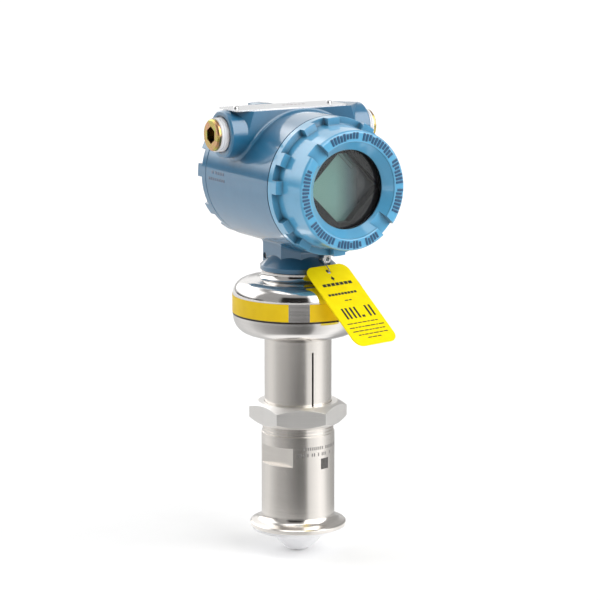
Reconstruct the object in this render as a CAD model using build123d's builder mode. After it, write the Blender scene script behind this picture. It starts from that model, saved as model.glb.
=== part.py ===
from build123d import *
from math import acos, cos, degrees, hypot, radians, sin, tan
import os

# Radar level transmitter with a clamp ferrule process connection.
# Millimetres. +Z runs up the neck, the display looks along -Y, and the origin is
# the centre of the ferrule's sealing face.

# Clearances between pieces
thread_gap = 0.1
face_gap = 0.05
turn_gap = 0.2
joint_gap = 0.4
seat_gap = 0.3
slip_fit = 0.05

# Process adapter: clamp ferrule, tube, wrench flats and male thread
ferrule_r = 32.0
ferrule_rim = 3.0
ferrule_back_angle = 20.0
ferrule_edge = 0.8
tube_r = 24.4
tube_foot_fillet = 5.0
flat_depth = 4.2
flat_low_z = 44.0
flat_height = 12.6
flat_angle = 197.9
band_height = 5.9
band_step = 0.3
band_recess = 0.7
band_line_depth = 0.4
band_line_width = 0.5
band_line_1 = 1.8
band_line_2 = 3.9
adapter_thread_step = 0.6
adapter_bore_r = 17.0
adapter_bore_top_z = 60.0

# Hexagon union nut
nut_low_z = 69.9
nut_height = 14.6
nut_across_flats = 56.5
nut_vertex_angle = 34.5
nut_chamfer = 1.9
nut_lip = 2.0

# Sleeve between the nut and the sensor base
sleeve_r = 22.3
sleeve_wall = 3.3
sleeve_flange = 2.1
sleeve_flange_h = 2.5
slip_ring_h = 1.0
slit_width = 1.2
slit_angle = 265.6
slit_top_below_base = 7.5

# Sensor base and dome
sleeve_show = 43.5
base_collar_wall = 1.9
base_step = 3.8
base_step_height = 1.6
base_bowl_height = 2.5
base_bowl_fillet = 12.0
base_height = 16.6
base_floor = 6.5
shell_wall = 2.5
seam_step = 0.3
dome_side_height = 12.4
dome_shoulder_r = 10.0
dome_rise = 0.8
neck_fillet = 4.0
dome_neck_r = 24.0
dome_flat = 5.3
dome_neck_height = 5.9

# Yellow label bands on the dome
label_margin_low = 0.6
label_margin_high = 0.2
label_thickness = 0.25
label_gap_start_angle = 231.7
label_gap_end_angle = 250.0
label_back_start_angle = 50.0
label_back_end_angle = 70.0

# Neck joint between the sensor dome and the housing
spigot_r = 14.0
spigot_height = 17.1
spigot_bore_r = 8.0
neck_seal_r = 1.1
neck_seal_offset = 2.6

# Inner pieces of the sensor
waveguide_r = 12.0
waveguide_bore_r = 9.5
module_gap = 10.5
module_height = 25.0
feedthrough_height = 9.0
feedthrough_rise = 4.0
feedthrough_pin_r = 0.6
feedthrough_pin_circle_r = 3.6
feedthrough_pin_count = 4
feedthrough_pin_reach = 2.5

# Process seal of white plastic
seal_r = 30.5
seal_flange = 2.3
seal_cone_r = 22.0
seal_ball_r = 15.7
seal_ball_centre_z = -2.3
seal_stem_h = 12.0
seal_tip_z = 52.0
seal_tip_r = 1.0

# Housing casting: neck
collar_overhang = 1.0
collar_h = 3.4
collar_chamfer = 0.6
neck_half = 17.5
neck_cone_rise = 7.0
neck_height = 15.4
neck_front_chamfer = 9.5
neck_rear_chamfer = 1.5
neck_saddle_fillet = 3.0

# Housing casting: cylinder and its two compartments
housing_r = 45.0
front_joint_y = -38.2
rear_joint_y = 44.0
housing_wall = 6.8
wall_front_y = -6.0
wall_thickness = 3.5
passage_r = 5.0
passage_y = -11.2

# Conduit bosses and the block on top
boss_r = 15.6
boss_y = 9.0
boss_reach = 7.5
plateau_rise = 1.5
boss_chamfer = 1.0
boss_recess_margin = 1.9
boss_recess = 1.0
conduit_depth = 14.5
conduit_neck_step = 1.2
conduit_inner_x = 16.0
block_top_inset = 16.1
block_low_inset = 11.1
block_end_inset = 2.5
block_fillet = 2.0

# Conduit plugs with thread tape
plug_r = 10.4
plug_rim = 2.5
plug_reach = 7.5
plug_thread = 12.5
plug_socket_af = 10.0
plug_socket_depth = 8.0
plug_chamfer = 1.0
tape_thickness = 0.7
tape_turns = 3
tape_groove = 0.35

# Nameplate and its drive pins
plate_left_inset = 4.5
plate_right_inset = 17.5
plate_front_inset = 1.6
plate_depth = 27.0
plate_thickness = 0.8
plate_corner = 2.0
plate_pin_inset = 6.5
plate_pin_head_r = 1.9
plate_pin_head_h = 1.5
plate_pin_r = 1.2
plate_pin_depth = 4.0

# Screw covers
cover_flange = 5.6
cover_flange_edge = 0.6
cover_barrel_step = 4.3
lug_reach = 5.3
lug_width_angle = 11.0
lug_pitch_angle = 60.0
lug_pair_offset = 12.0
lug_root_overlap = 2.2
cover_spigot_gap = 0.2
cover_spigot_wall = 4.0
cover_spigot_length = 12.0
cover_seal_r = 1.2
cover_seal_groove = 2.9

# Front cover: face ring, bore and window seat
front_cover_length = 31.4
face_taper = 2.1
face_edge = 1.8
face_width = 7.6
face_lip = 0.9
window_depth = 6.6
window_ledge = 1.1
window_ledge_width = 4.4
window_seat_step = 1.0
window_glass = 5.0
gasket_thickness = 0.5
retainer_depth = 2.4
retainer_width = 3.6
slot_width = 10.0
slot_depth = 5.0
slot_angle = 135.0
slot_overrun = 8.0

# Rear cover
rear_cover_length = 16.0
rear_face_taper = 1.1
rear_face_edge = 2.0
rear_end_wall = 4.0

# Display and electronics
bezel_gap = 2.0
bezel_ring_gap = 0.5
bezel_ring_reach = 2.4
bezel_back = 5.5
lcd_inset = 5.4
lcd_corner_cut = 4.3
lcd_recess = 3.7
lcd_thickness = 1.6
lcd_margin = 0.8
display_offset = 0.5
electronics_step = 0.5

# Terminal block
terminal_half_width = 22.0
terminal_below = 20.5
terminal_above = 13.5
terminal_depth = 13.0
terminal_corner = 3.0
terminal_barrier = 4.0
terminal_barrier_width = 2.0
terminal_pitch = 13.0
terminal_count = 3
terminal_row_drop = 7.5
terminal_screw_r = 3.6
terminal_screw_h = 2.4
terminal_slot = 0.9
terminal_shank_r = 2.0
terminal_shank = 7.0
ground_screw_inset = 5.3
ground_screw_angle = 43.2

# Screws on the neck and the cover lock
cap_x = 9.7
cap_rise = 8.9
cap_shank_show = 0.9
cap_head_h = 3.0
cap_head_r = 3.3
cap_shank_r = 2.0
cap_shank_depth = 4.8
cap_socket_af = 3.0
cap_socket_depth = 1.8
cap_pad_r = 4.3
cap_pad_back = 9.0
cap_clearance_r = 5.4
lock_y = 13.6
lock_rise = 8.5
lock_r = 2.0
lock_recess = 1.0
lock_length = 7.0
lock_socket_af = 2.0
jam_angle = 241.0
jam_y = -33.4
jam_r = 1.5
jam_recess = 0.8
jam_length = 5.0
jam_socket_af = 1.5
socket_depth = 1.5

# Tag and its wire
tag_width = 36.7
tag_length = 67.4
tag_thickness = 0.9
tag_corner = 6.5
tag_slope = 40.5
tag_direction = 282.3
tag_above_contact = 19.7
tag_hole_inset = 5.0
tag_hole_r = 2.0
wire_r = 0.4
wire_hook = 1.6
wire_rise = 1.3
wire_brow = 1.6
wire_knee_drop = 1.0

# Values worked out from the sizes above: process side, nut and sleeve
band_low_z = nut_low_z - band_height
band_r = tube_r - band_recess
band_line_r = band_r - band_line_depth
flat_distance = tube_r - flat_depth
adapter_thread_r = tube_r + adapter_thread_step
sleeve_flange_r = sleeve_r + sleeve_flange
adapter_top_z = nut_low_z + nut_height - nut_lip - slip_ring_h - sleeve_flange_h
sleeve_low_z = adapter_top_z
slip_ring_z = sleeve_low_z + sleeve_flange_h + face_gap
nut_top_z = nut_low_z + nut_height
nut_bore_r = adapter_thread_r + thread_gap
nut_shoulder_z = slip_ring_z + slip_ring_h + face_gap

# Sensor, stacked on the sleeve
base_low_z = nut_top_z + sleeve_show
slit_top_z = base_low_z - slit_top_below_base
base_collar_r = sleeve_r + base_collar_wall
base_step_r = base_collar_r + base_step
base_step_z = base_low_z + base_step_height
base_bowl_z = base_low_z + base_bowl_height
floor_z = base_low_z + base_floor
seam_z = base_low_z + base_height
dome_top_r = dome_neck_r + neck_fillet + dome_flat
dome_r = dome_top_r + dome_shoulder_r
base_r = dome_r - seam_step
module_r = base_r - shell_wall - module_gap
dome_shoulder_z = seam_z + dome_side_height
dome_roof_z = dome_shoulder_z + dome_shoulder_r
dome_top_z = dome_roof_z + dome_neck_height
label_low_z = seam_z + label_margin_low
label_high_z = dome_shoulder_z - label_margin_high
neck_seal_centre_r = spigot_r + neck_seal_offset

# Housing, which stands on the dome
housing_low_z = dome_top_z + turn_gap
collar_r = dome_neck_r + collar_overhang
collar_top_z = housing_low_z + collar_h
neck_cone_top_z = collar_top_z + neck_cone_rise
housing_z = housing_low_z + neck_height + housing_r
compartment_r = housing_r - housing_wall
housing_front_y = front_joint_y + joint_gap / 2
housing_rear_y = rear_joint_y - joint_gap / 2
cover_front_y = front_joint_y - joint_gap / 2
cover_rear_y = rear_joint_y + joint_gap / 2
wall_rear_y = wall_front_y + wall_thickness
plateau_z = housing_z + housing_r + plateau_rise
boss_z = plateau_z - boss_r
boss_end_x = housing_r + boss_reach
block_front_y = boss_y - boss_r
block_rear_y = boss_y + boss_r
block_top_x = boss_end_x - block_top_inset
block_low_x = boss_end_x - block_low_inset
block_end_x = boss_end_x - block_end_inset
conduit_r = plug_r + thread_gap
conduit_neck_r = conduit_r - conduit_neck_step
boss_recess_r = conduit_r + boss_recess_margin
plug_end_x = boss_end_x + plug_reach
tape_r = plug_r + tape_thickness
plate_left_x = plate_left_inset - boss_end_x
plate_right_x = boss_end_x - plate_right_inset
plate_front_y = block_front_y + plate_front_inset
plate_rear_y = plate_front_y + plate_depth
cap_z = housing_low_z + cap_rise
cap_seat_y = -neck_half
lock_z = housing_low_z + lock_rise

# Covers, window and display, from the housing's radius inwards
cover_barrel_r = housing_r - cover_barrel_step
lug_root_r = cover_barrel_r - lug_root_overlap
cover_spigot_r = compartment_r - cover_spigot_gap
cover_spigot_bore = cover_spigot_r - cover_spigot_wall
cover_seal_centre = cover_spigot_r + seat_gap + cover_seal_r
cover_groove_r = cover_seal_centre + cover_seal_r + seat_gap
face_y = front_joint_y - front_cover_length
face_outer_r = cover_barrel_r - face_taper
face_inner_r = face_outer_r - face_width
window_glass_r = face_inner_r - window_seat_step
window_r = window_glass_r - window_ledge_width
window_ledge_y = face_y + window_depth
gasket_y = window_ledge_y + window_ledge
glass_y = gasket_y + gasket_thickness
retainer_y = glass_y + window_glass
retainer_bore = window_glass_r - retainer_width
rear_end_y = rear_joint_y + rear_cover_length
rear_face_r = cover_barrel_r - rear_face_taper
bezel_r = cover_spigot_bore - bezel_gap
bezel_ring_r = retainer_bore - bezel_ring_gap
bezel_front_y = retainer_y + retainer_depth + seat_gap
bezel_rear_y = bezel_front_y + bezel_back
electronics_r = bezel_r - electronics_step
lcd_half_diagonal = bezel_r - lcd_inset
lcd_truncation = lcd_half_diagonal - lcd_corner_cut
lcd_front_y = bezel_front_y + lcd_recess

# Rear compartment
terminal_low_z = housing_z - terminal_below
terminal_high_z = housing_z + terminal_above
terminal_row_z = housing_z - terminal_row_drop
ground_screw_x = (compartment_r - ground_screw_inset) * cos(radians(ground_screw_angle))
ground_screw_z = housing_z - (compartment_r - ground_screw_inset) * sin(radians(ground_screw_angle))


def y_plane(y):
    """Sketch plane across the housing axis: local x is X, local y is Z."""
    return Plane(origin=(0, y, 0), x_dir=(1, 0, 0), z_dir=(0, -1, 0))


def housing_plane(y):
    """The same plane with its origin on the housing's axis."""
    return Plane(origin=(0, y, housing_z), x_dir=(1, 0, 0), z_dir=(0, -1, 0))


def bend(centre, radius, start, end):
    """Arc of a profile about a centre, between two angles in degrees."""
    spots = [(centre[0] + radius * cos(radians(a)), centre[1] + radius * sin(radians(a)))
             for a in (start, (start + end) / 2, end)]
    return ThreePointArc(*spots)


def on_cylinder(edge):
    """True for an edge that lies on the housing cylinder, between its two end circles."""
    spots = [edge.position_at(t) for t in (0, 0.3, 0.5, 1)]
    touching = all(abs(hypot(p.X, p.Z - housing_z) - housing_r) < 0.01 for p in spots)
    return touching and all(housing_front_y + 1 < p.Y < housing_rear_y - 1 for p in spots)


def finish(builder, label):
    """Label a finished piece and write it out."""
    builder.part.label = label
    export_step(builder.part, f"parts/{label}.step")


os.makedirs("parts", exist_ok=True)

# Plane that holds a profile turned about the housing axis: local x is the radius,
# local y runs towards the rear of the housing
housing_axis = Axis((0, 0, housing_z), (0, 1, 0))
profile_plane = Plane(origin=(0, 0, housing_z), x_dir=(1, 0, 0), z_dir=(0, 0, 1))

# Process adapter
with BuildPart() as process_adapter:
    with BuildSketch(Plane.XZ):
        with BuildLine():
            # The ferrule's sloped back ends in a round fillet at the tube
            fillet_r = tube_r + tube_foot_fillet
            back_z = ferrule_rim + (ferrule_r - ferrule_edge - tube_r) * tan(radians(ferrule_back_angle))
            fillet_z = back_z + tube_foot_fillet * (1 / cos(radians(ferrule_back_angle)) - tan(
                radians(ferrule_back_angle)))
            toe_angle = 270 - ferrule_back_angle
            toe_r = fillet_r + tube_foot_fillet * cos(radians(toe_angle))
            toe_z = fillet_z + tube_foot_fillet * sin(radians(toe_angle))
            Polyline((adapter_bore_r, 0), (ferrule_r, 0), (ferrule_r, ferrule_rim - ferrule_edge),
                     (ferrule_r - ferrule_edge, ferrule_rim), (toe_r, toe_z))
            bend((fillet_r, fillet_z), tube_foot_fillet, toe_angle, 180)
            Polyline((tube_r, fillet_z), (tube_r, band_low_z), (band_r, band_low_z + band_step),
                     (band_r, nut_low_z - face_gap),
                     (adapter_thread_r, nut_low_z + face_gap), (adapter_thread_r, adapter_top_z - 1),
                     (adapter_thread_r - 1, adapter_top_z), (waveguide_r + slip_fit, adapter_top_z),
                     (waveguide_r + slip_fit, adapter_bore_top_z), (adapter_bore_r, adapter_bore_top_z),
                     (adapter_bore_r, 0))
        make_face()
    revolve(axis=Axis.Z)
    for line_rise in (band_line_1, band_line_2):
        with BuildSketch(Plane.XY.offset(band_low_z + line_rise)):
            Circle(band_r + 1)
            Circle(band_line_r, mode=Mode.SUBTRACT)
        extrude(amount=band_line_width, mode=Mode.SUBTRACT)
    for side in (flat_angle, flat_angle + 180):
        flat_plane = Plane(
            origin=(flat_distance * cos(radians(side)), flat_distance * sin(radians(side)), flat_low_z),
            x_dir=(-sin(radians(side)), cos(radians(side)), 0),
            z_dir=(cos(radians(side)), sin(radians(side)), 0),
        )
        with BuildSketch(flat_plane):
            Rectangle(2 * tube_r, flat_height, align=(Align.CENTER, Align.MIN))
        extrude(amount=tube_r, mode=Mode.SUBTRACT)
finish(process_adapter, "process_adapter")

# White process seal: flange, cone with a round end, and a stem in the adapter's bore
with BuildPart() as seal_cone:
    with BuildSketch(Plane.XZ):
        with BuildLine():
            touch = seal_ball_r * cos(radians(45))
            Polyline((0, seal_tip_z), (seal_tip_r, seal_tip_z), (adapter_bore_r - slip_fit, seal_stem_h),
                     (adapter_bore_r - slip_fit, 0), (seal_r, 0), (seal_r, -seal_flange),
                     (seal_cone_r, -seal_flange), (touch, seal_ball_centre_z - touch))
            bend((0, seal_ball_centre_z), seal_ball_r, -45, -90)
            Line((0, seal_ball_centre_z - seal_ball_r), (0, seal_tip_z))
        make_face()
    revolve(axis=Axis.Z)
finish(seal_cone, "seal_cone")

# Hexagon union nut, its corners cut by a cone at both ends
with BuildPart() as hex_nut:
    with BuildSketch(Plane.XY.offset(nut_low_z)):
        RegularPolygon(nut_across_flats / 2, 6, major_radius=False, rotation=nut_vertex_angle)
    extrude(amount=nut_height)
    corner_r = nut_across_flats / 2 / cos(radians(30))
    rise = (corner_r - nut_across_flats / 2 + nut_chamfer) * 0.6
    with BuildSketch(Plane.XZ):
        with BuildLine():
            Polyline((0, nut_low_z), (nut_across_flats / 2 - nut_chamfer, nut_low_z),
                     (corner_r, nut_low_z + rise), (corner_r, nut_top_z - rise),
                     (nut_across_flats / 2 - nut_chamfer, nut_top_z), (0, nut_top_z), close=True)
        make_face()
    revolve(axis=Axis.Z, mode=Mode.INTERSECT)
    with BuildSketch(Plane.XY.offset(nut_low_z)):
        Circle(nut_bore_r)
    extrude(amount=nut_shoulder_z - nut_low_z, mode=Mode.SUBTRACT)
    with BuildSketch(Plane.XY.offset(nut_low_z)):
        Circle(sleeve_r + turn_gap)
    extrude(amount=nut_height, mode=Mode.SUBTRACT)
finish(hex_nut, "hex_nut")

# Slip ring between the nut's shoulder and the sleeve's flange
with BuildPart() as slip_ring:
    with BuildSketch(Plane.XY.offset(slip_ring_z)):
        Circle(sleeve_flange_r)
        Circle(sleeve_r + turn_gap, mode=Mode.SUBTRACT)
    extrude(amount=slip_ring_h)
finish(slip_ring, "slip_ring")

# Slit sleeve that carries the sensor
with BuildPart() as upper_sleeve:
    with BuildSketch(Plane.XY.offset(sleeve_low_z)):
        Circle(sleeve_r)
        Circle(sleeve_r - sleeve_wall, mode=Mode.SUBTRACT)
    extrude(amount=floor_z - sleeve_low_z)
    with BuildSketch(Plane.XY.offset(sleeve_low_z)):
        Circle(sleeve_flange_r)
        Circle(sleeve_r - sleeve_wall, mode=Mode.SUBTRACT)
    extrude(amount=sleeve_flange_h)
    slit_plane = Plane(
        origin=(0, 0, nut_shoulder_z),
        x_dir=(-sin(radians(slit_angle)), cos(radians(slit_angle)), 0),
        z_dir=(cos(radians(slit_angle)), sin(radians(slit_angle)), 0),
    )
    with BuildSketch(slit_plane):
        Rectangle(slit_width, slit_top_z - nut_shoulder_z, align=(Align.CENTER, Align.MIN))
    extrude(amount=sleeve_r + 1, mode=Mode.SUBTRACT)
finish(upper_sleeve, "upper_sleeve")

# Lower bowl of the sensor
with BuildPart() as sensor_base:
    inner_r = base_r - shell_wall
    bowl_centre_r = base_r - base_bowl_fillet
    bowl_centre_z = base_bowl_z + base_bowl_fillet
    inner_fillet = base_bowl_fillet - shell_wall
    floor_angle = degrees(acos((bowl_centre_z - floor_z) / inner_fillet)) - 90
    floor_edge_r = bowl_centre_r + inner_fillet * cos(radians(floor_angle))
    with BuildSketch(Plane.XZ):
        with BuildLine():
            Polyline((sleeve_r + slip_fit, base_low_z), (base_collar_r, base_low_z),
                     (base_step_r, base_step_z), (bowl_centre_r, base_bowl_z))
            bend((bowl_centre_r, bowl_centre_z), base_bowl_fillet, -90, 0)
            Polyline((base_r, bowl_centre_z), (base_r, seam_z), (inner_r, seam_z),
                     (inner_r, bowl_centre_z))
            bend((bowl_centre_r, bowl_centre_z), inner_fillet, 0, floor_angle)
            Polyline((floor_edge_r, floor_z), (sleeve_r + slip_fit, floor_z),
                     (sleeve_r + slip_fit, base_low_z))
        make_face()
    revolve(axis=Axis.Z)
finish(sensor_base, "sensor_base")

# Polished dome of the sensor, with the spigot that the housing turns on
with BuildPart() as sensor_dome:
    with BuildSketch(Plane.XZ):
        with BuildLine():
            roof_z = dome_roof_z + dome_rise
            inner_roof_z = dome_roof_z - shell_wall
            neck_foot_r = dome_neck_r + neck_fillet
            Line((dome_r, seam_z), (dome_r, dome_shoulder_z))
            bend((dome_top_r, dome_shoulder_z), dome_shoulder_r, 0, 90)
            Line((dome_top_r, dome_roof_z), (neck_foot_r, roof_z))
            bend((neck_foot_r, roof_z + neck_fillet), neck_fillet, -90, -180)
            Polyline((dome_neck_r, roof_z + neck_fillet), (dome_neck_r, dome_top_z),
                     (spigot_r, dome_top_z), (spigot_r, dome_top_z + spigot_height),
                     (spigot_bore_r, dome_top_z + spigot_height), (spigot_bore_r, inner_roof_z),
                     (dome_top_r, inner_roof_z))
            bend((dome_top_r, dome_shoulder_z), dome_shoulder_r - shell_wall, 90, 0)
            Polyline((dome_r - shell_wall, dome_shoulder_z), (dome_r - shell_wall, seam_z),
                     (dome_r, seam_z))
        make_face()
    revolve(axis=Axis.Z)
finish(sensor_dome, "sensor_dome")

# Yellow label bands round the dome
label_spans = {
    "label_band_front": (label_gap_end_angle, 360 + label_back_start_angle),
    "label_band_side": (label_back_end_angle, label_gap_start_angle),
}
for label_name, (start, end) in label_spans.items():
    with BuildPart() as label_band:
        with BuildSketch(Plane.XZ.rotated((0, 0, start))):
            with Locations((dome_r, label_low_z)):
                Rectangle(label_thickness, label_high_z - label_low_z, align=(Align.MIN, Align.MIN))
        revolve(axis=Axis.Z, revolution_arc=end - start)
    finish(label_band, label_name)

# Waveguide from the process bore up to the microwave module
with BuildPart() as waveguide:
    with BuildSketch(Plane.XY.offset(adapter_bore_top_z)):
        Circle(waveguide_r)
        Circle(waveguide_bore_r, mode=Mode.SUBTRACT)
    extrude(amount=floor_z - adapter_bore_top_z)
finish(waveguide, "waveguide")

# Microwave module on the floor of the base
with BuildPart() as microwave_module:
    with BuildSketch(Plane.XY.offset(floor_z)):
        Circle(module_r)
    extrude(amount=module_height)
    fillet(microwave_module.edges().group_by(Axis.Z)[-1], radius=1.5)
finish(microwave_module, "microwave_module")

# Glass feedthrough in the spigot's bore, with its pins
with BuildPart() as feedthrough:
    with BuildSketch(Plane.XY.offset(dome_top_z + feedthrough_rise)):
        Circle(spigot_bore_r - slip_fit)
    extrude(amount=feedthrough_height)
    with BuildSketch(Plane.XY.offset(dome_top_z + feedthrough_rise - feedthrough_pin_reach)):
        with PolarLocations(feedthrough_pin_circle_r, feedthrough_pin_count):
            Circle(feedthrough_pin_r)
    extrude(amount=feedthrough_height + 2 * feedthrough_pin_reach)
finish(feedthrough, "feedthrough")

# Seal ring at the foot of the housing, round the spigot
with BuildPart() as neck_seal:
    with BuildSketch(Plane.XZ):
        with Locations((neck_seal_centre_r, dome_top_z + neck_seal_r)):
            Circle(neck_seal_r)
    revolve(axis=Axis.Z)
finish(neck_seal, "neck_seal")

# Housing casting
with BuildPart() as housing:
    # Main cylinder
    with BuildSketch(housing_plane(housing_rear_y)):
        Circle(housing_r)
    extrude(amount=housing_rear_y - housing_front_y)
    # Conduit bosses, one cylinder from end to end
    with BuildSketch(Plane(origin=(-boss_end_x, boss_y, boss_z), x_dir=(0, 1, 0), z_dir=(1, 0, 0))):
        Circle(boss_r)
    extrude(amount=2 * boss_end_x)
    chamfer(housing.edges().filter_by(GeomType.CIRCLE).group_by(Axis.X)[0], length=boss_chamfer)
    chamfer(housing.edges().filter_by(GeomType.CIRCLE).group_by(Axis.X)[-1], length=boss_chamfer)
    # Block on top, its slanted ends running back at 45 degrees into the bosses
    for level, corner_x in ((boss_z, block_low_x), (plateau_z, block_top_x)):
        depth = block_end_x - corner_x
        with BuildSketch(Plane.XY.offset(level)):
            with BuildLine():
                front = block_front_y
                rear = block_rear_y
                Polyline((-corner_x, front), (corner_x, front), (block_end_x, front + depth),
                         (block_end_x, rear - depth), (corner_x, rear), (-corner_x, rear),
                         (-block_end_x, rear - depth), (-block_end_x, front + depth), close=True)
            make_face()
    loft(ruled=True)
    # Neck: prism with the front corners cut, cone and collar
    with BuildSketch(Plane.XY.offset(collar_top_z)):
        with BuildLine():
            cut_x = neck_half - neck_front_chamfer
            rear_x = neck_half - neck_rear_chamfer
            Polyline((-cut_x, -neck_half), (cut_x, -neck_half), (neck_half, -cut_x),
                     (neck_half, rear_x), (rear_x, neck_half), (-rear_x, neck_half),
                     (-neck_half, rear_x), (-neck_half, -cut_x), close=True)
        make_face()
    extrude(until=Until.NEXT)
    with BuildSketch(Plane.XZ):
        with BuildLine():
            Polyline((0, housing_low_z), (collar_r - collar_chamfer, housing_low_z),
                     (collar_r, housing_low_z + collar_chamfer), (collar_r, collar_top_z),
                     (neck_half, neck_cone_top_z), (0, neck_cone_top_z), close=True)
        make_face()
    revolve(axis=Axis.Z)
    # Rounded corners where the neck and the block meet the cylinder
    joins = housing.edges().filter_by(on_cylinder)
    fillet(joins.filter_by(lambda e: e.center().Z < housing_z), radius=neck_saddle_fillet)
    joins = housing.edges().filter_by(on_cylinder)
    fillet(joins.filter_by(lambda e: e.center().Z > housing_z), radius=block_fillet)
    # Round pad for the cap screw
    with BuildSketch(y_plane(cap_seat_y + cap_pad_back)):
        with Locations((cap_x, cap_z)):
            Circle(cap_pad_r)
    extrude(amount=cap_pad_back)
    with BuildSketch(y_plane(cap_seat_y)):
        with Locations((cap_x, cap_z)):
            Circle(cap_clearance_r)
    extrude(amount=cap_pad_back, mode=Mode.SUBTRACT)
    # Front and rear compartments with the wall between them
    with BuildSketch(housing_plane(wall_front_y)):
        Circle(compartment_r)
    extrude(amount=wall_front_y - housing_front_y, mode=Mode.SUBTRACT)
    with BuildSketch(housing_plane(housing_rear_y)):
        Circle(compartment_r)
    extrude(amount=housing_rear_y - wall_rear_y, mode=Mode.SUBTRACT)
    # Seal grooves at both mouths
    with BuildSketch(housing_plane(housing_front_y + cover_seal_groove)):
        Circle(cover_groove_r)
    extrude(amount=cover_seal_groove, mode=Mode.SUBTRACT)
    with BuildSketch(housing_plane(housing_rear_y)):
        Circle(cover_groove_r)
    extrude(amount=cover_seal_groove, mode=Mode.SUBTRACT)
    # Conduit entries into the rear compartment
    for side in (-1, 1):
        entry = Plane(origin=(side * boss_end_x, boss_y, boss_z), x_dir=(0, 1, 0), z_dir=(-side, 0, 0))
        with BuildSketch(entry):
            Circle(boss_recess_r)
        extrude(amount=boss_recess, mode=Mode.SUBTRACT)
        with BuildSketch(entry):
            Circle(conduit_r)
        extrude(amount=conduit_depth, mode=Mode.SUBTRACT)
        with BuildSketch(entry):
            Circle(conduit_neck_r)
        extrude(amount=boss_end_x - conduit_inner_x, mode=Mode.SUBTRACT)
        # Hole for the nameplate pin
        pin_x = plate_left_x + plate_pin_inset if side < 0 else plate_right_x - plate_pin_inset
        with BuildSketch(Plane.XY.offset(plateau_z)):
            with Locations((pin_x, (plate_front_y + plate_rear_y) / 2)):
                Circle(plate_pin_r + slip_fit)
        extrude(amount=-plate_pin_depth, mode=Mode.SUBTRACT)
    # Bore for the spigot, groove for its seal and the wire passage
    with BuildSketch(Plane.XY.offset(housing_low_z)):
        Circle(spigot_r + thread_gap)
    extrude(amount=spigot_height + seat_gap, mode=Mode.SUBTRACT)
    with BuildSketch(Plane.XY.offset(housing_low_z)):
        Circle(neck_seal_centre_r + neck_seal_r + turn_gap)
    extrude(amount=2 * neck_seal_r + turn_gap, mode=Mode.SUBTRACT)
    with BuildSketch(Plane.XY.offset(dome_top_z + spigot_height)):
        with Locations((0, passage_y)):
            Circle(passage_r)
    extrude(amount=housing_z - compartment_r - dome_top_z - spigot_height + passage_r,
            mode=Mode.SUBTRACT)
    # Tapped holes of the cap screw, the lock screw and the jam screw
    with BuildSketch(y_plane(cap_seat_y + cap_shank_depth)):
        with Locations((cap_x, cap_z)):
            Circle(cap_shank_r + slip_fit)
    extrude(amount=cap_shank_depth, mode=Mode.SUBTRACT)
    with BuildSketch(Plane(origin=(-neck_half - 1, lock_y, lock_z), x_dir=(0, 1, 0), z_dir=(1, 0, 0))):
        Circle(lock_r + slip_fit)
    extrude(amount=1 + lock_recess + lock_length, mode=Mode.SUBTRACT)
    jam_out = Vector(cos(radians(jam_angle)), 0, sin(radians(jam_angle)))
    jam_mouth = Vector(0, jam_y, housing_z) + jam_out * (housing_r + 1)
    with BuildSketch(Plane(origin=jam_mouth, x_dir=(0, 1, 0), z_dir=-jam_out)):
        Circle(jam_r + slip_fit)
    extrude(amount=1 + jam_recess + jam_length, mode=Mode.SUBTRACT)
finish(housing, "housing")

# Nameplate riveted on the block
with BuildPart() as nameplate:
    pin_y = (plate_front_y + plate_rear_y) / 2
    plate_middle_x = (plate_left_x + plate_right_x) / 2
    with BuildSketch(Plane.XY.offset(plateau_z)):
        with Locations((plate_middle_x, pin_y)):
            RectangleRounded(plate_right_x - plate_left_x, plate_rear_y - plate_front_y, plate_corner)
        with Locations((plate_left_x + plate_pin_inset, pin_y), (plate_right_x - plate_pin_inset, pin_y)):
            Circle(plate_pin_r + slip_fit, mode=Mode.SUBTRACT)
    extrude(amount=plate_thickness)
finish(nameplate, "nameplate")

with BuildPart() as nameplate_pins:
    pin_spots = [(plate_left_x + plate_pin_inset, pin_y), (plate_right_x - plate_pin_inset, pin_y)]
    with BuildSketch(Plane.XY.offset(plateau_z + plate_thickness)):
        with Locations(*pin_spots):
            Circle(plate_pin_head_r)
    extrude(amount=plate_pin_head_h)
    fillet(nameplate_pins.edges().group_by(Axis.Z)[-1], radius=plate_pin_head_h * 0.6)
    with BuildSketch(Plane.XY.offset(plateau_z + plate_thickness)):
        with Locations(*pin_spots):
            Circle(plate_pin_r)
    extrude(amount=-plate_thickness - plate_pin_depth)
finish(nameplate_pins, "nameplate_pins")

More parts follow.
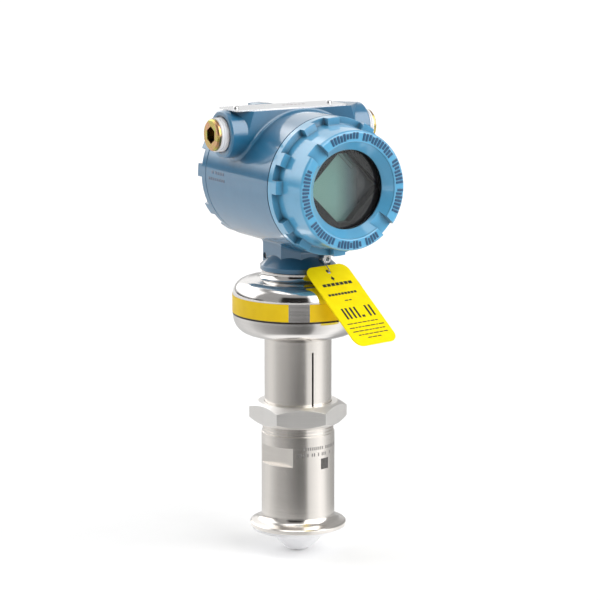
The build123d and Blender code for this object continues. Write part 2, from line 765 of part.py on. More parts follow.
# Conduit plugs and the white tape on their threads
for side, side_name in ((-1, "left"), (1, "right")):
    outward = Plane(origin=(0, boss_y, boss_z), x_dir=(0, side, 0), z_dir=(side, 0, 0))
    with BuildPart() as conduit_plug:
        with BuildSketch(outward.offset(boss_end_x - plug_thread)):
            Circle(plug_r)
        extrude(amount=plug_end_x - boss_end_x + plug_thread)
        chamfer(conduit_plug.edges().filter_by(GeomType.CIRCLE), length=plug_chamfer)
        with BuildSketch(outward.offset(plug_end_x)):
            RegularPolygon(plug_socket_af / 2, 6, major_radius=False, rotation=30)
        extrude(amount=-plug_socket_depth, mode=Mode.SUBTRACT)
    finish(conduit_plug, f"conduit_plug_{side_name}")

    with BuildPart() as thread_tape:
        tape_start = boss_end_x - boss_recess + seat_gap
        tape_length = plug_end_x - plug_rim - tape_start
        turn_width = tape_length / tape_turns
        with BuildSketch(outward.offset(tape_start)):
            Circle(tape_r - tape_groove)
            Circle(plug_r + slip_fit, mode=Mode.SUBTRACT)
        extrude(amount=tape_length)
        for turn in range(tape_turns):
            with BuildSketch(outward.offset(tape_start + turn * turn_width + 0.15 * turn_width)):
                Circle(tape_r)
                Circle(plug_r + slip_fit, mode=Mode.SUBTRACT)
            extrude(amount=0.7 * turn_width)
    finish(thread_tape, f"thread_tape_{side_name}")


def lug_angles():
    """Angles of the cover lugs: six pairs, each about the middle of a side."""
    return [45 + lug_pitch_angle * k + s * lug_pair_offset for k in range(6) for s in (-1, 1)]


def lug_outline(angle):
    """A lug's outline, from inside the barrel out to the flange's edge."""
    with PolarLocations((lug_root_r + housing_r + 1) / 2, 1, start_angle=angle):
        Rectangle(housing_r + 1 - lug_root_r, 2 * housing_r * sin(radians(lug_width_angle / 2)))
    Circle(housing_r, mode=Mode.INTERSECT)


# Front cover
with BuildPart() as front_cover:
    with BuildSketch(profile_plane):
        with BuildLine():
            flange_y = cover_front_y - cover_flange
            seat_r = window_glass_r + slip_fit
            Polyline((cover_spigot_bore, cover_front_y + cover_spigot_length),
                     (cover_spigot_r, cover_front_y + cover_spigot_length),
                     (cover_spigot_r, cover_front_y), (housing_r - cover_flange_edge, cover_front_y),
                     (housing_r, cover_front_y - cover_flange_edge), (housing_r, flange_y),
                     (cover_barrel_r, flange_y), (face_outer_r, face_y + face_edge))
            bend((face_outer_r - face_edge, face_y + face_edge), face_edge, 0, -90)
            Line((face_outer_r - face_edge, face_y), (face_inner_r + face_lip, face_y))
            bend((face_inner_r + face_lip, face_y + face_lip), face_lip, -90, -180)
            Polyline((face_inner_r, face_y + face_lip), (window_r, window_ledge_y), (window_r, gasket_y),
                     (seat_r, gasket_y), (seat_r, retainer_y + retainer_depth),
                     (cover_spigot_bore, retainer_y + retainer_depth + seat_gap),
                     (cover_spigot_bore, cover_front_y + cover_spigot_length))
        make_face()
    revolve(axis=housing_axis)
    for angle in lug_angles():
        with BuildSketch(housing_plane(flange_y)):
            lug_outline(angle)
        extrude(amount=lug_reach)
    with BuildSketch(housing_plane(face_y + slot_depth)):
        for angle in (slot_angle, slot_angle + 180):
            with PolarLocations((face_outer_r + face_inner_r) / 2, 1, start_angle=angle):
                Rectangle(face_outer_r - face_inner_r + slot_overrun, slot_width)
    extrude(amount=slot_depth, mode=Mode.SUBTRACT)
finish(front_cover, "front_cover")

# Window: gasket, glass and the ring that holds them
with BuildPart() as window_gasket:
    with BuildSketch(housing_plane(gasket_y + gasket_thickness)):
        Circle(window_glass_r)
        Circle(window_r + seat_gap, mode=Mode.SUBTRACT)
    extrude(amount=gasket_thickness)
finish(window_gasket, "window_gasket")

with BuildPart() as cover_glass:
    with BuildSketch(housing_plane(retainer_y)):
        Circle(window_glass_r)
    extrude(amount=window_glass)
finish(cover_glass, "cover_glass")

with BuildPart() as glass_retainer:
    with BuildSketch(housing_plane(retainer_y + retainer_depth)):
        Circle(window_glass_r)
        Circle(retainer_bore, mode=Mode.SUBTRACT)
    extrude(amount=retainer_depth)
finish(glass_retainer, "glass_retainer")

# Seal rings of both covers
for seal_name, seal_y in (
    ("front_cover_seal", housing_front_y + cover_seal_groove - cover_seal_r - slip_fit),
    ("rear_cover_seal", housing_rear_y - cover_seal_groove + cover_seal_r + slip_fit),
):
    with BuildPart() as cover_seal:
        with BuildSketch(profile_plane):
            with Locations((cover_seal_centre, seal_y)):
                Circle(cover_seal_r)
        revolve(axis=housing_axis)
    finish(cover_seal, seal_name)

# Rear cover, closed
with BuildPart() as rear_cover:
    with BuildSketch(profile_plane):
        with BuildLine():
            rear_flange_y = cover_rear_y + cover_flange
            Polyline((0, rear_end_y - rear_end_wall), (cover_spigot_bore, rear_end_y - rear_end_wall),
                     (cover_spigot_bore, cover_rear_y - cover_spigot_length),
                     (cover_spigot_r, cover_rear_y - cover_spigot_length),
                     (cover_spigot_r, cover_rear_y), (housing_r - cover_flange_edge, cover_rear_y),
                     (housing_r, cover_rear_y + cover_flange_edge), (housing_r, rear_flange_y),
                     (cover_barrel_r, rear_flange_y), (rear_face_r, rear_end_y - rear_face_edge))
            bend((rear_face_r - rear_face_edge, rear_end_y - rear_face_edge), rear_face_edge, 0, 90)
            Polyline((rear_face_r - rear_face_edge, rear_end_y), (0, rear_end_y),
                     (0, rear_end_y - rear_end_wall))
        make_face()
    revolve(axis=housing_axis)
    for angle in lug_angles():
        with BuildSketch(housing_plane(rear_flange_y + lug_reach)):
            lug_outline(angle)
        extrude(amount=lug_reach)
finish(rear_cover, "rear_cover")


def diamond(half_diagonal, truncation):
    """Outline of the display: a square on its corner with the top and bottom cut."""
    side = half_diagonal - truncation
    return [(-half_diagonal, 0), (-side, -truncation), (side, -truncation),
            (half_diagonal, 0), (side, truncation), (-side, truncation)]


# Display bezel, panel and the electronics behind them
with BuildPart() as display_bezel:
    with BuildSketch(housing_plane(bezel_rear_y)):
        Circle(bezel_r)
    extrude(amount=bezel_back)
    with BuildSketch(housing_plane(bezel_front_y)):
        Circle(bezel_ring_r)
    extrude(amount=bezel_ring_reach)
    with BuildSketch(housing_plane(bezel_rear_y)):
        with Locations((0, display_offset)):
            Polygon(*diamond(lcd_half_diagonal, lcd_truncation), align=None)
    extrude(amount=bezel_back + bezel_ring_reach, mode=Mode.SUBTRACT)
    with BuildSketch(housing_plane(bezel_rear_y)):
        with Locations((0, display_offset)):
            Polygon(*diamond(lcd_half_diagonal + lcd_margin, lcd_truncation + lcd_margin), align=None)
    extrude(amount=bezel_rear_y - lcd_front_y, mode=Mode.SUBTRACT)
finish(display_bezel, "display_bezel")

with BuildPart() as lcd_panel:
    with BuildSketch(housing_plane(lcd_front_y + lcd_thickness)):
        with Locations((0, display_offset)):
            Polygon(*diamond(lcd_half_diagonal + lcd_margin - slip_fit,
                             lcd_truncation + lcd_margin - slip_fit), align=None)
    extrude(amount=lcd_thickness)
finish(lcd_panel, "lcd_panel")

with BuildPart() as electronics_module:
    with BuildSketch(housing_plane(wall_front_y)):
        Circle(electronics_r)
    extrude(amount=wall_front_y - bezel_rear_y)
    fillet(electronics_module.edges().group_by(Axis.Y)[-1], radius=2)
finish(electronics_module, "electronics_module")

# Terminal block with barriers, its screws and the ground screw
with BuildPart() as terminal_block:
    terminal_face_y = wall_rear_y + terminal_depth
    with BuildSketch(y_plane(terminal_face_y)):
        with Locations((0, (terminal_low_z + terminal_high_z) / 2)):
            RectangleRounded(2 * terminal_half_width, terminal_high_z - terminal_low_z, terminal_corner)
    extrude(amount=terminal_depth)
    with BuildSketch(y_plane(terminal_face_y + terminal_barrier)):
        with Locations(*[((k - terminal_count / 2) * terminal_pitch, (terminal_low_z + terminal_high_z) / 2)
                         for k in range(terminal_count + 1)]):
            Rectangle(terminal_barrier_width, terminal_high_z - terminal_low_z - 2 * terminal_corner)
    extrude(amount=terminal_barrier)
    with BuildSketch(y_plane(terminal_face_y)):
        with Locations(*[((k - (terminal_count - 1) / 2) * terminal_pitch, terminal_row_z)
                         for k in range(terminal_count)]):
            Circle(terminal_shank_r + slip_fit)
    extrude(amount=terminal_shank, mode=Mode.SUBTRACT)
finish(terminal_block, "terminal_block")

terminal_spots = [((k - (terminal_count - 1) / 2) * terminal_pitch, terminal_row_z)
                  for k in range(terminal_count)]
with BuildPart() as terminal_screws:
    with BuildSketch(y_plane(terminal_face_y + terminal_screw_h)):
        with Locations(*terminal_spots):
            Circle(terminal_screw_r)
    extrude(amount=terminal_screw_h)
    with BuildSketch(y_plane(terminal_face_y)):
        with Locations(*terminal_spots):
            Circle(terminal_shank_r)
    extrude(amount=terminal_shank)
    with BuildSketch(y_plane(terminal_face_y + terminal_screw_h)):
        with Locations(*terminal_spots):
            Rectangle(2 * terminal_screw_r, terminal_slot)
    extrude(amount=terminal_screw_h / 2, mode=Mode.SUBTRACT)
finish(terminal_screws, "terminal_screws")

with BuildPart() as ground_screw:
    with BuildSketch(y_plane(wall_rear_y + terminal_screw_h)):
        with Locations((ground_screw_x, ground_screw_z)):
            Circle(terminal_screw_r)
    extrude(amount=terminal_screw_h)
    with BuildSketch(y_plane(wall_rear_y + terminal_screw_h)):
        with Locations((ground_screw_x, ground_screw_z)):
            Rectangle(2 * terminal_screw_r, terminal_slot)
    extrude(amount=terminal_screw_h / 2, mode=Mode.SUBTRACT)
finish(ground_screw, "ground_screw")

# Cap screw that carries the tag's wire
with BuildPart() as cap_screw:
    cap_head_y = cap_seat_y - cap_shank_show
    with BuildSketch(y_plane(cap_head_y)):
        with Locations((cap_x, cap_z)):
            Circle(cap_head_r)
    extrude(amount=cap_head_h)
    chamfer(cap_screw.edges().group_by(Axis.Y)[0], length=0.4)
    with BuildSketch(y_plane(cap_head_y - cap_head_h)):
        with Locations((cap_x, cap_z)):
            RegularPolygon(cap_socket_af / 2, 6, major_radius=False)
    extrude(amount=-cap_socket_depth, mode=Mode.SUBTRACT)
    with BuildSketch(y_plane(cap_seat_y + cap_shank_depth)):
        with Locations((cap_x, cap_z)):
            Circle(cap_shank_r)
    extrude(amount=cap_shank_depth + cap_shank_show)
finish(cap_screw, "cap_screw")

# Lock screw in the side of the neck
with BuildPart() as lock_screw:
    lock_face = Plane(origin=(-neck_half + lock_recess, lock_y, lock_z), x_dir=(0, 1, 0), z_dir=(1, 0, 0))
    with BuildSketch(lock_face):
        Circle(lock_r)
    extrude(amount=lock_length)
    with BuildSketch(lock_face):
        RegularPolygon(lock_socket_af / 2, 6, major_radius=False)
    extrude(amount=socket_depth, mode=Mode.SUBTRACT)
finish(lock_screw, "lock_screw")

# Jam screw that locks the front cover
with BuildPart() as jam_screw:
    jam_top = Vector(0, jam_y, housing_z) + jam_out * (housing_r - jam_recess)
    jam_face = Plane(origin=jam_top, x_dir=(0, 1, 0), z_dir=-jam_out)
    with BuildSketch(jam_face):
        Circle(jam_r)
    extrude(amount=jam_length)
    with BuildSketch(jam_face):
        RegularPolygon(jam_socket_af / 2, 6, major_radius=False)
    extrude(amount=socket_depth, mode=Mode.SUBTRACT)
finish(jam_screw, "jam_screw")

# Tag: a flat plate that leans on the dome's shoulder
lean = radians(tag_slope)
heading = radians(tag_direction)
outward_dir = Vector(cos(heading), sin(heading), 0)
width_dir = Vector(-sin(heading), cos(heading), 0)
tag_normal = outward_dir * sin(lean) + Vector(0, 0, cos(lean))
up_slope = outward_dir * -cos(lean) + Vector(0, 0, sin(lean))
shoulder_centre = outward_dir * dome_top_r + Vector(0, 0, dome_shoulder_z)
contact = shoulder_centre + tag_normal * (dome_shoulder_r + seat_gap)
tag_top = contact + up_slope * tag_above_contact
tag_hole = tag_top - up_slope * tag_hole_inset
tag_plane = Plane(origin=tag_top, x_dir=width_dir, z_dir=tag_normal)
with BuildPart() as tag:
    with BuildSketch(tag_plane):
        with Locations((0, -tag_length / 2)):
            RectangleRounded(tag_width, tag_length, tag_corner)
        with Locations((0, -tag_hole_inset)):
            Circle(tag_hole_r, mode=Mode.SUBTRACT)
    extrude(amount=tag_thickness)
finish(tag, "tag")

# Wire: an eye round the cap screw and a leg that hooks through the tag's hole
with BuildPart() as tag_wire:
    eye_r = cap_shank_r + slip_fit + wire_r
    eye_centre = Vector(cap_x, cap_seat_y - cap_shank_show / 2, cap_z)
    eye_side = eye_centre + Vector(-eye_r, 0, 0)
    knee = eye_centre + Vector(-cap_head_r - wire_r - 2 * seat_gap, 0, -wire_knee_drop)
    brow = tag_hole + up_slope * (tag_hole_inset + wire_brow) + tag_normal * (tag_thickness + wire_rise)
    hook_top = tag_hole + tag_normal * (tag_thickness + wire_rise)
    hook_end = tag_hole - tag_normal * wire_hook
    with BuildSketch(Plane(origin=eye_centre, x_dir=(1, 0, 0), z_dir=(0, 0, 1))):
        with Locations((eye_r, 0)):
            Circle(wire_r)
    revolve(axis=Axis(eye_centre, (0, 1, 0)))
    with BuildLine():
        Polyline(eye_side, knee, brow, hook_top, hook_end)
    with BuildSketch(Plane(origin=eye_side, z_dir=knee - eye_side)):
        Circle(wire_r)
    sweep(transition=Transition.ROUND)
finish(tag_wire, "tag_wire")
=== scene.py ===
import math
import random

import bmesh
import bpy
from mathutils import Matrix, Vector


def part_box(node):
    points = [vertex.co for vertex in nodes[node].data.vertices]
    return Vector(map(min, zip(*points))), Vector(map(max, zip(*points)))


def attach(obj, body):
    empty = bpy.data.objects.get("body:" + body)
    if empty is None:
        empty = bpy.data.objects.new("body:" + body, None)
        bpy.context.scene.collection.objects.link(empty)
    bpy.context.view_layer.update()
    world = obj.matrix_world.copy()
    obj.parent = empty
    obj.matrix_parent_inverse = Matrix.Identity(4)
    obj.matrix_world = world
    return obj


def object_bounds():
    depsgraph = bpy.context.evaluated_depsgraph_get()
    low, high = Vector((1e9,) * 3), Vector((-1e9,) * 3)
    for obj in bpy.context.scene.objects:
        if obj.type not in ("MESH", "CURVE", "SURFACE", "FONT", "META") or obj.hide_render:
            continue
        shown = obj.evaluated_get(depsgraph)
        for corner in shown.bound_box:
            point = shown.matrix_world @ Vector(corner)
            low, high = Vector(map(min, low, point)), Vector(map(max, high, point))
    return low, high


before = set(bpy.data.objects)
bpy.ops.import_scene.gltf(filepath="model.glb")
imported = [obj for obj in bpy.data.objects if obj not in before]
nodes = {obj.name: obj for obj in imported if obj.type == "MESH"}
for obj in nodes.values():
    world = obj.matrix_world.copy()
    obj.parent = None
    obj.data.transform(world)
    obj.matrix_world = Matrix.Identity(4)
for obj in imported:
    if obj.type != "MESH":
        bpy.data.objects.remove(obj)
cad_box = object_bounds()

# Lengths are in metres, apart from the camera's lens and sensor and the printed marks, which are
# in mm. Azimuths are in degrees: 0 is towards -Y, and 90 is towards +X.
MM = 0.001


def srgb(red, green, blue):
    """Linear colour from the usual 0 to 255 values."""
    linear = []
    for value in (red, green, blue):
        share = value / 255
        linear.append(share / 12.92 if share <= 0.04045 else ((share + 0.055) / 1.055) ** 2.4)
    return (*linear, 1.0)


# Camera

CAMERA_PLACE = Vector((-0.8828, -1.51907, 0.47383))
CAMERA_TARGET = Vector((0.0, 0.0, 0.1521))
CAMERA_LENS = 162.0
CAMERA_SENSOR = 36.0
CAMERA_SHIFT_X = 0.0033
CAMERA_REACH = 60.0


def make_camera():
    data = bpy.data.cameras.new("camera")
    data.lens = CAMERA_LENS
    data.sensor_width = CAMERA_SENSOR
    data.shift_x = CAMERA_SHIFT_X
    data.clip_end = CAMERA_REACH
    camera = bpy.data.objects.new("camera", data)
    camera.location = CAMERA_PLACE
    camera.rotation_euler = (CAMERA_TARGET - CAMERA_PLACE).to_track_quat("-Z", "Y").to_euler()
    bpy.context.scene.collection.objects.link(camera)
    bpy.context.scene.camera = camera


# Node tree helpers

HOLLOW_SHADE_SAMPLES = 8
EDGE_SAMPLES = 6


def add(tree, kind, inputs=None, **settings):
    """Adds a node. An input is a value, or the output socket that feeds it."""
    node = tree.nodes.new(kind)
    for key, value in settings.items():
        setattr(node, key, value)
    for key, value in (inputs or {}).items():
        if isinstance(value, bpy.types.NodeSocket):
            tree.links.new(value, node.inputs[key])
        else:
            node.inputs[key].default_value = value
    return node


def compute(tree, operation, *values):
    """Output of a Math node."""
    return add(tree, "ShaderNodeMath", dict(enumerate(values)), operation=operation).outputs[0]


def compass_angle(tree, parts):
    """Azimuth, in radians, of the direction or place that has these three parts."""
    return compute(tree, "ARCTAN2", parts[0], compute(tree, "MULTIPLY", parts[1], -1.0))


def object_place(tree, stretch=(1, 1, 1)):
    """Object coordinates, stretched along the axes."""
    place = add(tree, "ShaderNodeTexCoord").outputs["Object"]
    return add(tree, "ShaderNodeMapping", {"Vector": place, "Scale": stretch}).outputs[0]


def noise(tree, place, scale, detail=3.0, roughness=0.5):
    inputs = {"Vector": place, "Scale": scale, "Detail": detail, "Roughness": roughness}
    return add(tree, "ShaderNodeTexNoise", inputs).outputs["Fac"]


def span(tree, value, low, high, to_low, to_high, smooth=False):
    """Value mapped from one range to another."""
    kind = "SMOOTHSTEP" if smooth else "LINEAR"
    inputs = {"Value": value, "From Min": low, "From Max": high, "To Min": to_low, "To Max": to_high}
    return add(tree, "ShaderNodeMapRange", inputs, interpolation_type=kind).outputs[0]


def ramp(tree, value, *stops):
    """Colour ramp with (place, colour) stops."""
    node = add(tree, "ShaderNodeValToRGB", {0: value})
    for index, (place, colour) in enumerate(stops):
        element = node.color_ramp.elements[index] if index < 2 else node.color_ramp.elements.new(place)
        element.position = place
        element.color = colour
    return node.outputs[0]


def blend_colour(tree, share, first, second, kind="MIX"):
    node = add(tree, "ShaderNodeMix", {0: share, 6: first, 7: second}, data_type="RGBA", blend_type=kind)
    return node.outputs[2]


def paint_hollow_shade(tree, colour, dark, reach, closed, opened, least):
    """Painted shade: turns a colour to a dark one where little open air is within reach of the surface.
    """
    air = add(tree, "ShaderNodeAmbientOcclusion", {"Distance": reach}, samples=HOLLOW_SHADE_SAMPLES)
    share = span(tree, air.outputs["AO"], closed, opened, least, 1.0, True)
    return blend_colour(tree, share, dark, colour)


def bump(tree, height, strength, distance, normal=None):
    inputs = {"Height": height, "Strength": strength, "Distance": distance}
    if normal is not None:
        inputs["Normal"] = normal
    return add(tree, "ShaderNodeBump", inputs).outputs[0]


def soft_edge(tree, radius):
    """Normal that rounds the sharp edges a little."""
    return add(tree, "ShaderNodeBevel", {"Radius": radius}, samples=EDGE_SAMPLES).outputs[0]


def new_material(name, **values):
    """A Principled material with plain values on its sockets."""
    material = bpy.data.materials.new(name)
    material.use_nodes = True
    shader = material.node_tree.nodes["Principled BSDF"]
    for key, value in values.items():
        shader.inputs[key.replace("_", " ")].default_value = value
    return material, material.node_tree, shader


def join(tree, output, shader, name):
    tree.links.new(output, shader.inputs[name])


# World: grey, with four soft boxes of light and two dark ones. Camera and transmission rays see
# plain white in its place.

SKY_GREY = 0.40
SOFT_BOXES = (
    # azimuth, elevation, half width, half height and edge in degrees, then strength
    (-150.0, 29.0, 36.0, 21.0, 7.0, 1.8),
    (162.0, 28.0, 22.0, 21.0, 5.0, 0.7),
    (-60.0, 76.0, 75.0, 12.0, 3.0, 1.8),
    (30.0, 30.0, 36.0, 26.0, 6.0, 2.9),
    (-36.0, 14.0, 26.0, 26.0, 5.0, -0.38),
    (-130.0, 1.5, 36.0, 6.0, 2.5, -0.37),
)


def make_world():
    world = bpy.data.worlds.new("studio")
    world.use_nodes = True
    bpy.context.scene.world = world
    tree = world.node_tree
    direction = add(tree, "ShaderNodeTexCoord").outputs["Generated"]
    parts = add(tree, "ShaderNodeSeparateXYZ", {0: direction}).outputs
    azimuth = compass_angle(tree, parts)
    elevation = compute(tree, "ARCSINE", parts[2])
    total = SKY_GREY
    for centre, height, half_width, half_height, edge, strength in SOFT_BOXES:
        away = compute(tree, "WRAP", compute(tree, "SUBTRACT", azimuth, math.radians(centre)),
                       math.pi, -math.pi)
        lift = compute(tree, "SUBTRACT", elevation, math.radians(height))
        inside = strength
        for offset, half in ((away, half_width), (lift, half_height)):
            size = compute(tree, "ABSOLUTE", offset)
            mask = span(tree, size, math.radians(half - edge), math.radians(half + edge), 1, 0, True)
            inside = compute(tree, "MULTIPLY", mask, inside)
        total = compute(tree, "ADD", inside, total)
    paths = add(tree, "ShaderNodeLightPath").outputs
    seen = compute(tree, "MAXIMUM", paths["Is Camera Ray"], paths["Is Transmission Ray"])
    total = add(tree, "ShaderNodeMix", {0: seen, 2: total, 3: 1.0}).outputs[0]
    background = tree.nodes["Background"]
    background.inputs["Color"].default_value = (1.0, 1.0, 1.0, 1.0)
    tree.links.new(total, background.inputs["Strength"])


# Floor: white, with the part's soft shadow. FLOOR_GLOW is the share of plain white in it.

FLOOR_Z = cad_box[0][2]
FLOOR_RADIUS = 14.0
FLOOR_SIDES = 96
FLOOR_GLOW = 0.16

# What upright steel mirrors: degrees from the camera's azimuth, and brightness. Most of these levels
# were measured across the steel tubes in the photograph, and most were then lowered.
REFLECTION_AZIMUTH = -30.0
REFLECTION_GAIN = 1.24
REFLECTED = (
    (-180, 0.50), (-144, 0.58), (-118, 0.67), (-99, 0.67), (-84, 0.54), (-70, 0.44), (-57, 0.37),
    (-45, 0.33), (-33, 0.28), (-11, 0.18), (0, 0.145), (11, 0.135), (22, 0.17), (27, 0.34), (31, 0.60),
    (45, 0.77), (57, 0.88), (70, 0.98), (84, 0.90), (99, 0.60), (118, 0.43), (144, 0.34), (179, 0.50),
)

# The disc that carries them is light inside the near edge and beyond the far edge, and dark beyond
# the far edge where the window mirrors it
NEAR_LIGHT = 0.96
NEAR_EDGE = (0.07, 0.125)
FAR_LIGHT = 0.76
FAR_EDGE = (1.10, 1.28)
WINDOW_DARK = 0.05
WINDOW_AZIMUTH = 31
WINDOW_EDGE = (14, 26)
CARD_RADIUS = 3.2
CARD_SIDES = 128
CARD_LIFT = 1 * MM


def disc(name, radius, sides, height):
    """Flat round sheet, linked to the scene."""
    mesh = bpy.data.meshes.new(name)
    shape = bmesh.new()
    bmesh.ops.create_circle(shape, cap_ends=True, segments=sides, radius=radius)
    shape.to_mesh(mesh)
    shape.free()
    sheet = bpy.data.objects.new(name, mesh)
    sheet.location.z = height
    bpy.context.scene.collection.objects.link(sheet)
    return sheet


def make_floor():
    floor = disc("floor", FLOOR_RADIUS, FLOOR_SIDES, FLOOR_Z)
    material, tree, shader = new_material("floor_white", Roughness=0.9, Specular_IOR_Level=0.0)
    grain = noise(tree, object_place(tree), 40.0)
    white = ramp(tree, grain, (0.3, srgb(252, 252, 252)), (0.7, srgb(254, 254, 254)))
    join(tree, white, shader, "Base Color")
    paths = add(tree, "ShaderNodeLightPath").outputs
    seen = compute(tree, "MAXIMUM", paths["Is Camera Ray"], paths["Is Glossy Ray"])
    seen = compute(tree, "MAXIMUM", seen, paths["Is Transmission Ray"])
    glow = add(tree, "ShaderNodeEmission", {"Color": (1, 1, 1, 1), "Strength": 1.0}).outputs[0]
    share = compute(tree, "MULTIPLY", seen, FLOOR_GLOW)
    mixed = add(tree, "ShaderNodeMixShader", {0: share, 1: shader.outputs[0], 2: glow}).outputs[0]
    tree.links.new(mixed, tree.nodes["Material Output"].inputs["Surface"])
    material.cycles.emission_sampling = "NONE"
    floor.data.materials.append(material)


def reflected_level(tree):
    """Brightness of the reflected floor at each place on it."""
    place = add(tree, "ShaderNodeTexCoord").outputs["Object"]
    parts = add(tree, "ShaderNodeSeparateXYZ", {0: place}).outputs
    azimuth = compass_angle(tree, parts)
    turned = compute(tree, "SUBTRACT", azimuth, math.radians(REFLECTION_AZIMUTH))
    turned = compute(tree, "WRAP", turned, math.pi, -math.pi)
    share = span(tree, turned, -math.pi, math.pi, 0.0, 1.0)
    stops = [((angle + 180) / 360, (level, level, level, 1.0)) for angle, level in REFLECTED]
    stripes = ramp(tree, share, *stops)
    radius = add(tree, "ShaderNodeVectorMath", {0: place}, operation="LENGTH").outputs["Value"]
    near = span(tree, radius, *NEAR_EDGE, 0.0, 1.0, True)
    far = span(tree, radius, *FAR_EDGE, 0.0, 1.0, True)
    from_window = compute(tree, "SUBTRACT", azimuth, math.radians(WINDOW_AZIMUTH))
    from_window = compute(tree, "ABSOLUTE", from_window)
    inner, outer = (math.radians(edge) for edge in WINDOW_EDGE)
    window = span(tree, from_window, inner, outer, WINDOW_DARK, FAR_LIGHT, True)
    level = add(tree, "ShaderNodeMix", {0: near, 2: NEAR_LIGHT, 3: stripes}).outputs[0]
    level = add(tree, "ShaderNodeMix", {0: far, 2: level, 3: window}).outputs[0]
    return compute(tree, "MULTIPLY", level, REFLECTION_GAIN)


def make_reflected_floor():
    """Disc just above the floor that only reflections see. It hides the floor's white from them."""
    card = disc("reflected_floor", CARD_RADIUS, CARD_SIDES, FLOOR_Z + CARD_LIFT)
    material = bpy.data.materials.new("reflected_floor")
    material.use_nodes = True
    tree = material.node_tree
    tree.nodes.remove(tree.nodes["Principled BSDF"])
    level = reflected_level(tree)
    glow = add(tree, "ShaderNodeEmission", {"Color": (1, 1, 1, 1), "Strength": level}).outputs[0]
    tree.links.new(glow, tree.nodes["Material Output"].inputs["Surface"])
    material.cycles.emission_sampling = "NONE"
    card.data.materials.append(material)
    card.visible_camera = False
    card.visible_diffuse = False
    card.visible_shadow = False
    card.visible_transmission = False


# Materials

# Colours of the painted shade in hollows, for the blue paint and for the yellow zinc
HOLLOW_SHADE_BLUE = (0.0, 0.012, 0.03, 1.0)
HOLLOW_SHADE_BLACK = (0.004, 0.003, 0.003, 1.0)

# Noise scales across and along the axis of turned steel, and how far its tone changes
LINES_ACROSS = 12
STREAK_SCALES = (160, 160, 6)
STREAK_SHARE = 0.4
TONE_LIGHTER = 1.03
TONE_DARKER = 0.96


def blue_paint(name, deep, light):
    """Glossy enamel on a casting: slight orange peel, a soft random change of tone, painted shade in its
    hollows and rounded edges.
    """
    material, tree, shader = new_material(name, Roughness=0.30, IOR=1.55, Coat_Weight=1.0, Coat_IOR=1.6,
                                          Coat_Roughness=0.07)
    place = object_place(tree)
    shade = noise(tree, place, 55.0, 4.0)
    colour = ramp(tree, shade, (0.3, deep), (0.72, light))
    # Painted shade: the colour darkens towards deep blue where the casting is closed in
    colour = paint_hollow_shade(tree, colour, HOLLOW_SHADE_BLUE, 70 * MM, 0.28, 0.90, 0.30)
    join(tree, colour, shader, "Base Color")
    edges = soft_edge(tree, 0.45 * MM)
    cast = bump(tree, noise(tree, place, 260.0, 2.0), 0.10, 0.25 * MM, edges)
    peel = bump(tree, noise(tree, place, 1100.0, 2.0), 0.05, 0.06 * MM, cast)
    join(tree, peel, shader, "Normal")
    join(tree, edges, shader, "Coat Normal")
    return material


def steel(name, tone, roughness, anisotropy=0.0, line_scale=0.0, line_depth=0.0, edge=0.25 * MM):
    """Stainless steel turned about Z: fine lines round it and a faint change of tone."""
    material, tree, shader = new_material(name, Metallic=1.0, Anisotropic=anisotropy,
                                          Anisotropic_Rotation=0.25)
    lines = noise(tree, object_place(tree, (LINES_ACROSS, LINES_ACROSS, line_scale)), 1.0, 4.0, 0.65)
    streaks = noise(tree, object_place(tree, STREAK_SCALES), 1.0, 3.0)
    light = tuple(min(1.0, c * TONE_LIGHTER) for c in tone[:3]) + (1.0,)
    dark = tuple(c * TONE_DARKER for c in tone[:3]) + (1.0,)
    colour = ramp(tree, lines, (0.35, dark), (0.65, light))
    streaked = ramp(tree, streaks, (0.35, dark), (0.65, light))
    colour = blend_colour(tree, STREAK_SHARE, colour, streaked)
    join(tree, colour, shader, "Base Color")
    rough = span(tree, lines, 0.3, 0.7, roughness * 0.85, roughness * 1.15)
    join(tree, rough, shader, "Roughness")
    normal = soft_edge(tree, edge)
    if line_depth:
        normal = bump(tree, lines, 0.35, line_depth, normal)
    join(tree, normal, shader, "Normal")
    if anisotropy:
        tangent = add(tree, "ShaderNodeTangent", direction_type="RADIAL", axis="Z").outputs[0]
        join(tree, tangent, shader, "Tangent")
    return material


def plain(name, low, high, roughness, scale=300.0, depth=0.04 * MM, edge=0.2 * MM, **values):
    """A moulded or printed surface: two close tones, a fine bump and softened edges."""
    material, tree, shader = new_material(name, Roughness=roughness, **values)
    place = object_place(tree)
    join(tree, ramp(tree, noise(tree, place, scale / 3), (0.35, low), (0.65, high)), shader, "Base Color")
    normal = bump(tree, noise(tree, place, scale, 4.0), 0.3, depth, soft_edge(tree, edge))
    join(tree, normal, shader, "Normal")
    return material


def yellow_zinc():
    """Yellow passivated zinc: gold with pink and green patches, and painted shade that turns it nearly
    black in its hollows.
    """
    material, tree, shader = new_material("yellow_zinc", Metallic=1.0, Roughness=0.24)
    place = object_place(tree)
    patches = noise(tree, place, 190.0, 3.0)
    colour = ramp(tree, patches, (0.30, srgb(182, 196, 112)), (0.46, srgb(196, 176, 96)),
                  (0.60, srgb(214, 164, 130)), (0.75, srgb(206, 176, 98)))
    # Painted shade: nearly black deep in hollows such as the plug's socket
    colour = paint_hollow_shade(tree, colour, HOLLOW_SHADE_BLACK, 7 * MM, 0.25, 0.80, 0.02)
    join(tree, colour, shader, "Base Color")
    normal = bump(tree, noise(tree, place, 900.0), 0.2, 0.05 * MM, soft_edge(tree, 0.3 * MM))
    join(tree, normal, shader, "Normal")
    return material


